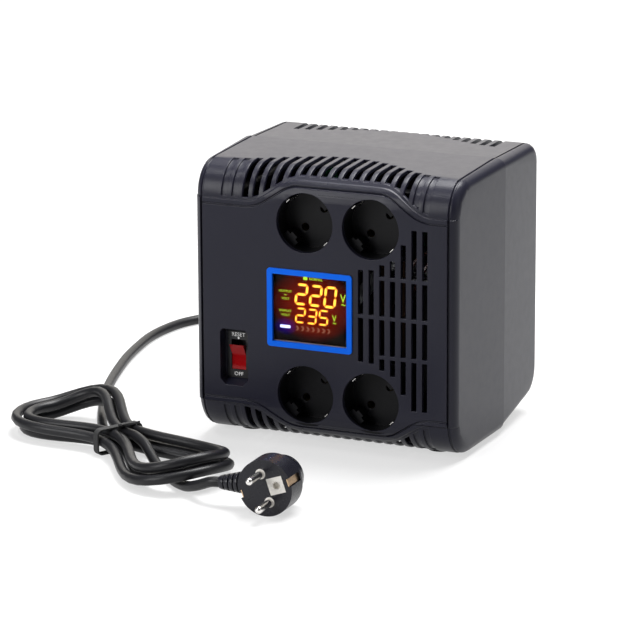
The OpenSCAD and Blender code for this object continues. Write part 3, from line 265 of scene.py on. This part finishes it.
def metal(name, colour, roughness, stretch=(1, 1, 12)):
    """Plated or bare metal with fine lines along its length."""
    material, tree, shader, place = new_finish(name)
    dark = [c * 0.8 for c in colour]
    lines = noise(tree, place, LINE_SIZE, 3, stretch)
    streaks = mix_colours(tree, "MIX", between(tree, lines, 0, 1), dark, colour)
    add_link(tree, streaks, shader.inputs["Base Color"])
    shader.inputs["Metallic"].default_value = 1.0
    add_link(tree, between(tree, lines, roughness, roughness + 0.15), shader.inputs["Roughness"])
    add_grain(tree, shader, lines, 0.004 * MM)
    return material


case_plastic = plastic("case_plastic", (0.013, 0.013, 0.024), 0.33, 0.5, 0.02, 0.04, 0.22)
socket_plastic = plastic("socket_plastic", (0.003, 0.003, 0.004), 0.4, 0.8, 0.006, shine=0.16)
breaker_black = plastic("breaker_black", (0.006, 0.006, 0.008), 0.35, 0.6, 0.006, shine=0.35)
cord_plastic = plastic("cord_plastic", (0.010, 0.010, 0.012), 0.38, 0.4, 0.008, shine=0.26)
plug_plastic = plastic("plug_plastic", (0.009, 0.009, 0.014), 0.28, 0.5, 0.008, shine=0.3)
foot_rubber = plastic("foot_rubber", (0.018, 0.018, 0.019), 0.75, 0.4, 0.03)
frame_blue = plastic("frame_blue", (0.001, 0.14, 0.88), 0.35, 0.5, 0.006, 0.04, 0.14)
pale_plastic = plastic("pale_plastic", (0.82, 0.79, 0.74), 0.45, 0.6, 0.01)
lamp_black = plastic("lamp_black", (0.02, 0.02, 0.022), 0.4)
relay_black = plastic("relay_black", (0.008, 0.008, 0.01), 0.5, shine=0.2)
tape_black = plastic("tape_black", (0.006, 0.005, 0.004), 0.6, shine=0.15)
terminal_green = plastic("terminal_green", (0.01, 0.06, 0.02), 0.5)
# Zinc is darker than plated zinc really is: painted shade for the screws inside the case, on a true
# zinc finish
zinc = metal("zinc", (0.25, 0.25, 0.26), 0.4)
# Copper is near black, far darker than bare copper: painted shade of the inside of the case
copper = metal("copper", (0.03, 0.016, 0.010), 0.5)
brass = metal("brass", (0.78, 0.6, 0.28), 0.25)
dull_brass = metal("dull_brass", (0.10, 0.075, 0.035), 0.5)
nickel = metal("nickel", (0.8, 0.78, 0.76), 0.12)
strip_metal = metal("strip_metal", (0.66, 0.47, 0.3), 0.25)
print("finishes:", len(bpy.data.materials))

# %% [markdown]
# ## Working on a copy of a solid
# A solid from CAD arrives as loose triangles with knife-sharp edges. A copy is merged
# into whole faces first, and then a bevel of a few tenths of a millimetre catches the
# light along every edge, as a real moulding does.


# %% Helpers that turn a solid or a bmesh into a piece
MERGE_GAP = 0.002
FLAT_ANGLE = 0.6
EDGE_ANGLE = 35


def add_piece(name, shape, finish, body, replaced=()):
    """Puts a bmesh into the scene as a piece that rides on a body."""
    mesh = bpy.data.meshes.new(name)
    shape.to_mesh(mesh)
    shape.free()
    piece = bpy.data.objects.new(name, mesh)
    bpy.context.scene.collection.objects.link(piece)
    if finish:
        mesh.materials.append(finish)
    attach(piece, body)
    if replaced:
        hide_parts(*replaced)
    return piece


def whole_faces(node):
    """The solid's triangles, merged into flat faces in a new bmesh."""
    shape = bmesh.new()
    shape.from_mesh(nodes[node].data)
    bmesh.ops.remove_doubles(shape, verts=shape.verts, dist=MERGE_GAP * MM)
    bmesh.ops.dissolve_limit(
        shape, angle_limit=math.radians(FLAT_ANGLE), verts=shape.verts, edges=shape.edges
    )
    wide = [face for face in shape.faces if len(face.verts) > 4]
    bmesh.ops.triangulate(shape, faces=wide, quad_method="BEAUTY", ngon_method="BEAUTY")
    for face in shape.faces:
        face.smooth = True
    return shape


def soften(piece, width, clamp=True):
    """Rounds every sharp edge by `width` millimetres."""
    bevel = piece.modifiers.new("rounded_edges", "BEVEL")
    bevel.limit_method = "ANGLE"
    bevel.angle_limit = math.radians(EDGE_ANGLE)
    bevel.width = width * MM
    bevel.segments = 2
    bevel.harden_normals = True
    bevel.use_clamp_overlap = clamp
    even = piece.modifiers.new("even_shading", "WEIGHTED_NORMAL")
    even.keep_sharp = True
    return piece


def dress(node, finish, width=0.0, body=CASE_BODY, clamp=True):
    """A softened copy of a solid that stands for it."""
    piece = add_piece(node + "_moulding", whole_faces(node), finish, body, [node])
    return soften(piece, width, clamp=clamp)


def paint(finish, *names):
    """Gives solids whose shape is right their finish."""
    for name in names:
        data = nodes[name].data
        data.materials.clear()
        data.materials.append(finish)


# %% [markdown]
# ## Mains lead
# The lead leaves the back wall, falls to the table, swings round the left side and
# ends in a hank of three loops, held at its waist by a twist tie. From there a short
# stretch runs to the plug. It is one curve from end to end. The loops come from a
# formula: a figure of eight without the crossing, that spirals outwards in the lower
# layer and back inwards in the upper one.

# %% Route of the lead
CORD_D = 7.0
CORD_SPACE = 0.6
gland_low, gland_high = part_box("cord_gland")
gland_exit = Vector(((gland_low.x + gland_high.x) / 2, gland_high.y, 42.0 * MM)) / MM
WAIST = Vector((-127.0, -123.0, 0.0))
WAIST_TURN = math.radians(-30)
HANK_LOOPS = 3
HANK_RINGS = 60
HANK_STEP = 8.3
HANK_INNER = 2.4
HANK_RIGHT = 98.0
HANK_LEFT = 82.0
RIGHT_SWELL = 80.0
LEFT_SWELL = 78.0
HANK_BLUNT = 0.4
RIGHT_BEND = 8.0
LEFT_BEND = 3.0
WAIST_LIFT = 1.6
HANK_RISE = 10.8


def bump(distance, width):
    return (1 + math.cos(math.pi * distance / width)) / 2 if abs(distance) < width else 0.0


def hank_line(degrees):
    """Innermost line of the hank at an angle round it."""
    side, along = math.sin(math.radians(degrees)), math.cos(math.radians(degrees))
    right = side > 0
    swell = (RIGHT_SWELL if right else LEFT_SWELL) * side**2 * (1 - HANK_BLUNT * side**2)
    bend = (RIGHT_BEND if right else LEFT_BEND) * side**2
    return Vector(((HANK_RIGHT if right else HANK_LEFT) * side, (HANK_INNER + swell) * along - bend))


def hank_out(degrees):
    step = (hank_line(degrees + 1) - hank_line(degrees - 1)).normalized()
    return Vector((-step.y, step.x))


def loop_point(turns):
    """Point of the hank after some turns, in the hank's own axes."""
    degrees = 360 * (turns - math.floor(turns))
    spiral = HANK_STEP * (HANK_LOOPS / 2 - abs(turns - HANK_LOOPS / 2))
    climb = min(1.0, max(0.0, 2 * (turns - HANK_LOOPS / 2) + 0.5))
    layer = (CORD_D + CORD_SPACE) * (1 - math.cos(math.pi * climb)) / 2
    rise = HANK_RISE * (bump(degrees - 90, 55) + bump(degrees - 316, 44))
    flat = hank_line(degrees) + spiral * hank_out(degrees)
    waist_rise = WAIST_LIFT * math.cos(math.radians(degrees)) ** 4
    return Vector((flat.x, flat.y, CORD_D / 2 + waist_rise + layer + rise))


def out(point):
    """From the hank's own axes to those of the whole part, in millimetres."""
    return WAIST + Matrix.Rotation(WAIST_TURN, 3, "Z") @ point


def at_waist(along, turns):
    """A point of the hank after some turns, moved along the waist."""
    return out(Vector((along, 0, 0)) + loop_point(turns))


def smooth(points, count):
    """A Catmull-Rom curve through the points, with `count` steps between each pair."""
    found = []
    for i in range(len(points) - 1):
        a, b = points[max(i - 1, 0)], points[i]
        c, d = points[i + 1], points[min(i + 2, len(points) - 1)]
        for k in range(count):
            t = k / count
            found.append(
                (2 * b + (c - a) * t + (2 * a - 5 * b + 4 * c - d) * t * t
                 + (3 * b - a - 3 * c + d) * t**3) / 2
            )
    return found + [points[-1]]


LEAD_POINTS = [Vector(p) for p in (
    (-61, 138, 37), (-64, 154, 25), (-69, 170, 12.5), (-77, 185, 5), (-89, 198, 3.5), (-106, 208, 3.5),
    (-128, 213, 3.5), (-150, 213, 3.5), (-172, 208, 3.5), (-191, 200, 3.5), (-207, 188, 3.5),
    (-218, 170, 3.5), (-223, 148, 3.5), (-224, 124, 3.5), (-221, 98, 3.5), (-216, 70, 3.5),
    (-209, 42, 3.5), (-201, 14, 3.5), (-192, -13, 3.5), (-183, -35, 3.5), (-173, -57, 3.5),
    (-164, -76, 3.5), (-155.5, -92, 3.5), (-147, -105, 3.8),
)]
TAIL_POINTS = [Vector(p) for p in (
    (-103, -136.5, 11.2), (-94, -146, 8), (-85, -156, 5), (-76, -165.5, 3.5), (-66, -175, 3.5),
    (-56, -184, 3.6), (-46, -192, 5.2), (-35.5, -199, 9.2),
)]

ROUTE_STEPS = 8
PLUG_R = 18.6
PLUG_PLACE = Vector((19.0, -215.0, PLUG_R))
PLUG_NECK_Y = 12.0
PLUG_SLOPE = math.radians(6)
SLEEVE_L = 18.0
sleeve_axis = Vector((-math.cos(PLUG_SLOPE), 0, -math.sin(PLUG_SLOPE)))
sleeve_end = PLUG_PLACE + Vector((0, PLUG_NECK_Y, 0)) + (PLUG_R + SLEEVE_L) * sleeve_axis

lead = smooth(
    [gland_exit, gland_exit + Vector((0, CORD_D, 0)), *LEAD_POINTS,
     at_waist(-2 * CORD_D, 0), at_waist(-CORD_D, 0)], ROUTE_STEPS)
hank = [out(loop_point(k / HANK_RINGS)) for k in range(HANK_RINGS * HANK_LOOPS + 1)]
tail = smooth(
    [at_waist(CORD_D, HANK_LOOPS), at_waist(2 * CORD_D, HANK_LOOPS), *TAIL_POINTS,
     sleeve_end + CORD_D * sleeve_axis, sleeve_end], ROUTE_STEPS)
route = [p * MM for p in lead + hank + tail]

# %% Lead as one curve
cord_curve = bpy.data.curves.new("mains_lead", "CURVE")
cord_curve.dimensions = "3D"
cord_curve.bevel_depth = CORD_D / 2 * MM
cord_curve.bevel_resolution = 5
spline = cord_curve.splines.new("POLY")
spline.points.add(len(route) - 1)
for point, place in zip(spline.points, route):
    point.co = (*place, 1)
spline.use_smooth = True
cord_curve.materials.append(cord_plastic)
mains_lead = bpy.data.objects.new("mains_lead", cord_curve)
bpy.context.scene.collection.objects.link(mains_lead)
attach(mains_lead, CASE_BODY)
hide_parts("cord_lead", "cord_hank", "cord_tail")

# %% [markdown]
# ## Case
# Two shells meet at a seam round the middle. The front one carries the raised panel,
# the grille, the wells of the sockets and half of the vents. Their shapes are right
# in the solids, so each is a softened copy.

# %% Case shells
front_case = dress("front_shell", case_plastic, 0.4, clamp=False)
rear_case = dress("rear_shell", case_plastic, 0.35)
paint(foot_rubber, "feet")
paint(zinc, "case_screws")
print("case faces:", len(front_case.data.polygons) + len(rear_case.data.polygons))

# %% [markdown]
# ## Sockets
# Each socket is a round well with a floor, two guide ribs and the sprung ends of an
# earth strap. The black is deeper than the case's.

# %% Sockets
SOCKETS = ("ul", "ur", "ll", "lr")
TIP_DEPTH = 0.5
TIP_SHARE = 0.68


def round_tips(shape):
    """Narrows the front end of each of a strap's two fingers."""
    tip_y = min(v.co.y for v in shape.verts)
    tips = [v for v in shape.verts if v.co.y < tip_y + TIP_DEPTH * MM]
    middle = sum((v.co for v in tips), Vector()) / len(tips)
    for side in (-1, 1):
        finger = [v for v in tips if side * (v.co.x - middle.x) > 0]
        centre = sum((v.co for v in finger), Vector()) / len(finger)
        for v in finger:
            v.co = centre + (v.co - centre) * TIP_SHARE


for place in SOCKETS:
    dress("socket_insert_" + place, socket_plastic, 0.3)
    clip = whole_faces("earth_clip_" + place)
    round_tips(clip)
    strap = add_piece("clip_" + place, clip, nickel, CASE_BODY, ["earth_clip_" + place])
    soften(strap, 0.15)
    paint(dull_brass, "pin_contacts_" + place)
    paint(socket_plastic, "socket_cover_" + place)
# The screws inside get the darkened zinc, whose darkness is painted shade
paint(zinc, "socket_screws", "display_screws", "board_screws")
paint(zinc, "transformer_screws", "transformer_bracket")
# The buses get the near-black copper, whose darkness is painted shade
paint(copper, "live_bus", "neutral_bus")
print(len(SOCKETS), "sockets")


# %% [markdown]
# ## Display
# A blue frame holds a smoked window. Behind it the digits glow yellow in the middle of
# each bar and orange at its rim, and their light spills red over the black behind them.

# %% Glowing finishes
def glowing(name, colour, strength):
    material, tree, shader, place = new_finish(name)
    shader.inputs["Base Color"].default_value = (*[c * 0.2 for c in colour], 1)
    shader.inputs["Emission Color"].default_value = (*colour, 1)
    shader.inputs["Emission Strength"].default_value = strength
    shader.inputs["Roughness"].default_value = 0.4
    add_grain(tree, shader, noise(tree, place, 0.3 * MM), 0.003 * MM)
    return material


digit_core = glowing("digit_core", (1.0, 0.8, 0.1), 1.6)
digit_rim = glowing("digit_rim", (1.0, 0.17, 0.0), 1.2)
legend_green = glowing("legend_green", (0.42, 0.8, 0.01), 1.2)
lamp_blue = glowing("lamp_blue", (0.5, 0.6, 1.0), 2.2)
dim_red = glowing("dim_red", (0.30, 0.075, 0.03), 0.6)
print("finishes:", len(bpy.data.materials))

# %% Frame, window and digits
dress("display_bezel", frame_blue, 0.4)
window_low, window_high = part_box("display_window")
window_middle = (window_low + window_high) / 2

RIM_WIDTH = 0.32
digits = whole_faces("display_segments")
fronts = [f for f in digits.faces if f.normal.y < -0.9]
bmesh.ops.inset_individual(digits, faces=fronts, thickness=RIM_WIDTH * MM)
for face in digits.faces:
    face.material_index = 1
for face in fronts:
    face.material_index = 0
lit_digits = add_piece("lit_digits", digits, digit_core, CASE_BODY, ["display_segments"])
lit_digits.data.materials.append(digit_rim)
print(len(fronts), "bars in the digits")

smoked, smoked_shader = plain_finish("smoked_window", (0.95, 0.88, 0.86), 0.03)
smoked_shader.inputs["Transmission Weight"].default_value = 1.0
smoked_shader.inputs["IOR"].default_value = 1.1
paint(smoked, "display_window")


# %% Light that spills over the black behind the digits
def soft_spot(tree, place, dx, dz, reach_x, reach_z, colour):
    """A round glow that fades out, at a place on the window given from its middle."""
    mapping = tree.nodes.new("ShaderNodeMapping")
    mapping.vector_type = "TEXTURE"
    mapping.inputs["Location"].default_value = (window_middle.x + dx * MM, 0, window_middle.z + dz * MM)
    mapping.inputs["Scale"].default_value = (reach_x * MM, 10.0, reach_z * MM)
    add_link(tree, place, mapping.inputs["Vector"])
    spot = tree.nodes.new("ShaderNodeTexGradient")
    spot.gradient_type = "SPHERICAL"
    add_link(tree, mapping.outputs[0], spot.inputs["Vector"])
    ramp = tree.nodes.new("ShaderNodeValToRGB")
    ramp.color_ramp.elements[0].color = (0, 0, 0, 1)
    ramp.color_ramp.elements[1].color = (*colour, 1)
    ramp.color_ramp.elements[1].position = 0.8
    add_link(tree, spot.outputs["Fac"], ramp.inputs["Fac"])
    return ramp.outputs["Color"]


def spilled_light():
    material, tree, shader, place = new_finish("spilled_light")
    shader.inputs["Base Color"].default_value = (0.004, 0.002, 0.002, 1)
    shader.inputs["Roughness"].default_value = 0.5
    shader.inputs["Specular IOR Level"].default_value = 0.02
    total = soft_spot(tree, place, 1.0, 3.0, 31, 25, (0.20, 0.004, 0.0))
    for spot in (
        soft_spot(tree, place, -18.6, -13.2, 8.5, 6, (0.01, 0.0, 0.16)),
        soft_spot(tree, place, 3.0, -13.6, 20, 5, (0.05, 0.003, 0.0)),
    ):
        total = mix_colours(tree, "ADD", 1.0, total, spot)
    add_link(tree, total, shader.inputs["Emission Color"])
    shader.inputs["Emission Strength"].default_value = 1.0
    return material


paint(spilled_light(), "display_lamp_block")
print("spilled light on the lamp block")

# %% [markdown]
# ## Printed and lit words
# A text object becomes a mesh, stands up with a quarter turn about X, and is moved to
# its place on the panel. Only general words and marks are used.

# %% Words
WORD_DEPTH = 0.06
PRINT_DEPTH = 0.1
legend_y = window_high.y + 0.12 * MM
upright = Matrix.Rotation(math.pi / 2, 3, "X")


def on_window(dx, dz):
    """A point in front of the window, from its middle, in metres."""
    return Vector((window_middle.x + dx * MM, legend_y, window_middle.z + dz * MM))


def add_words(name, words, height, middle, finish, width):
    """Words as a thin mesh, with the middle at a point in metres."""
    text = bpy.data.curves.new(name, "FONT")
    text.body = words
    text.size = 1.4 * height * MM
    text.extrude = WORD_DEPTH / 2 * MM
    text.resolution_u = 3
    text.align_x = "CENTER"
    text.align_y = "CENTER"
    source = bpy.data.objects.new(name + "_text", text)
    bpy.context.scene.collection.objects.link(source)
    bpy.context.view_layer.update()
    mesh = bpy.data.meshes.new_from_object(source)
    bpy.data.objects.remove(source)
    shape = bmesh.new()
    shape.from_mesh(mesh)
    bpy.data.meshes.remove(mesh)
    bmesh.ops.remove_doubles(shape, verts=shape.verts, dist=0.001 * MM)
    xs = [v.co.x for v in shape.verts]
    ys = [v.co.y for v in shape.verts]
    centre = Vector(((min(xs) + max(xs)) / 2, (min(ys) + max(ys)) / 2, 0))
    tall = height * MM / (max(ys) - min(ys))
    wide = width * MM / (max(xs) - min(xs))
    bmesh.ops.translate(shape, verts=shape.verts, vec=-centre)
    bmesh.ops.scale(shape, verts=shape.verts, vec=(wide, tall, 1))
    bmesh.ops.rotate(shape, verts=shape.verts, cent=(0, 0, 0), matrix=upright)
    bmesh.ops.translate(shape, verts=shape.verts, vec=middle)
    return add_piece(name, shape, finish, CASE_BODY)


LEGENDS = (
    # name, words, height, X and Z from the window's middle, width
    ("volts_upper", "V", 5.5, (22.9, 9.9), 3.9),
    ("wave_upper", "~", 1.2, (23.2, 5.6), 3.0),
    ("volts_lower", "V", 4.2, (16.6, -4.2), 3.1),
    ("wave_lower", "~", 0.9, (16.8, -7.6), 2.4),
    ("state_word", "NORMAL", 1.6, (3.6, 21.0), 9.4),
    ("output_word", "OUTPUT", 1.5, (-18.4, 11.0), 9.2),
    ("output_mark", "~", 0.8, (-18.4, 8.5), 1.8),
    ("output_volt", "VOLT", 1.5, (-18.4, 6.0), 5.6),
    ("input_word", "INPUT", 1.5, (-18.4, -2.4), 8.6),
    ("input_volt", "VOLT", 1.5, (-18.4, -5.2), 6.4),
)
for name, words, height, (dx, dz), width in LEGENDS:
    add_words(name, words, height, on_window(dx, dz), legend_green, width)
print(len(LEGENDS), "legends")


# %% Small lamps of the display
def printed_bar(width, height):
    shape = bmesh.new()
    bmesh.ops.create_cube(shape, size=1)
    bmesh.ops.scale(shape, verts=shape.verts, vec=(width * MM, PRINT_DEPTH * MM, height * MM))
    return shape


def add_bar_piece(name, dx, dz, width, height, finish):
    """A thin bar with rounded corners, on the window."""
    shape = printed_bar(width, height)
    uprights = [e for e in shape.edges if abs(e.verts[0].co.y - e.verts[1].co.y) > 0.05 * MM]
    bmesh.ops.bevel(
        shape, geom=uprights, offset=0.3 * height * MM, offset_type="OFFSET", segments=3,
        profile=0.5, affect="EDGES", material=-1, clamp_overlap=True,
    )
    bmesh.ops.translate(shape, verts=shape.verts, vec=on_window(dx, dz))
    add_piece(name, shape, finish, CASE_BODY)


pale_edge = plastic("pale_edge", (0.42, 0.33, 0.27), 0.5)
window_width = (window_high.x - window_low.x) / MM
window_height = (window_high.z - window_low.z) / MM
EDGE_H = 0.7
add_bar_piece("window_edge", 0, -(window_height - EDGE_H) / 2, window_width - 1, EDGE_H, pale_edge)
add_bar_piece("supply_lamp", -18.6, -13.2, 7.4, 2.0, lamp_blue)
add_bar_piece("state_mark", -4.0, 21.0, 3.0, 2.2, legend_green)
CHEVRON_COUNT = 7
CHEVRON_PITCH = 3.75
CHEVRON_FIRST = (-10.4, -13.6)
CHEVRON_BAR = (1.4, 3.2)
CHEVRON_POINT = 1.2
for k in range(CHEVRON_COUNT):
    shape = printed_bar(*CHEVRON_BAR)
    uprights = [e for e in shape.edges if abs(e.verts[0].co.z - e.verts[1].co.z) > 1 * MM]
    bmesh.ops.subdivide_edges(shape, edges=uprights, cuts=1)
    for vertex in shape.verts:
        if abs(vertex.co.z) < 0.5 * MM:
            vertex.co.x += CHEVRON_POINT * MM
    spot = on_window(CHEVRON_FIRST[0] + k * CHEVRON_PITCH, CHEVRON_FIRST[1])
    bmesh.ops.translate(shape, verts=shape.verts, vec=spot)
    add_piece("load_mark_%d" % (k + 1), shape, dim_red, CASE_BODY)
print(CHEVRON_COUNT, "load marks")

# %% [markdown]
# ## Breaker
# The rocker is glossy red plastic that stands in a black plate. Its words are white.

# %% Rocker, plate and words
rocker_red, rocker_shader = plain_finish("rocker_red", (0.34, 0.004, 0.006), 0.1)
rocker_shader.inputs["Specular IOR Level"].default_value = 0.14
word_white = plastic("word_white", (0.95, 0.95, 0.93), 0.5)
dress("breaker_rocker", rocker_red, 0.5, ROCKER_BODY)
dress("breaker_body", breaker_black, 0.3)
paint(brass, "breaker_terminals")

plate_low, plate_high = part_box("breaker_body")
plate_middle = (plate_low + plate_high) / 2
DOT_R = 0.7


def on_plate(dz):
    """A point on the breaker's plate, above its middle, in metres."""
    return Vector((plate_middle.x, plate_low.y - 0.02 * MM, plate_middle.z + dz * MM))


add_words("reset_word", "RESET", 2.6, on_plate(14.0), word_white, 9.6)
add_words("off_word", "OFF", 2.6, on_plate(-13.2), word_white, 6.4)
dot = bmesh.new()
bmesh.ops.create_cone(
    dot, cap_ends=True, segments=24, radius1=DOT_R * MM, radius2=DOT_R * MM, depth=PRINT_DEPTH * MM
)
bmesh.ops.rotate(dot, verts=dot.verts, cent=(0, 0, 0), matrix=upright)
bmesh.ops.translate(dot, verts=dot.verts, vec=on_plate(11.6))
add_piece("reset_dot", dot, word_white, CASE_BODY)
print("rocker on", ROCKER_BODY)

# %% [markdown]
# ## Plug
# The plug is a round moulding with two plated pins, earth strips on its flanks and a
# pale insert round the earth hole. The sleeve behind it is grooved, so that it bends.

# %% Plug
dress("plug_body", plug_plastic, 0.8)
dress("plug_sleeve", plug_plastic, 0.3)
dress("plug_pins", nickel, 0.3)
dress("plug_earth_strips", strip_metal, 0.2)
dress("plug_earth_insert", pale_plastic, 0.3)

# %% Gland and tie
dress("cord_gland", cord_plastic, 0.6)
dress("twist_tie", foot_rubber, 0.3)

# %% [markdown]
# ## Inside
# The transformer, the boards and the wires are hidden by the case, and each still has
# the finish of the real piece.

# %% Pieces inside the case
board_green = plastic("board_green", (0.015, 0.14, 0.05), 0.35)
core_steel = metal("core_steel", (0.05, 0.05, 0.055), 0.5, (1, 12, 1))
wire_brown = plastic("wire_brown", (0.03, 0.012, 0.006), 0.5)
wire_red = plastic("wire_red", (0.05, 0.006, 0.005), 0.5)
ribbon_grey = plastic("ribbon_grey", (0.3, 0.31, 0.33), 0.5)
paint(board_green, "display_board", "control_board")
paint(core_steel, "transformer_core")
paint(tape_black, "transformer_bobbin", "transformer_winding")
paint(relay_black, "relays")
paint(lamp_black, "capacitors")
paint(terminal_green, "terminal_block")
paint(wire_brown, "supply_wires")
paint(wire_red, "output_wires")
paint(ribbon_grey, "display_ribbon")
print("finishes:", len(bpy.data.materials))
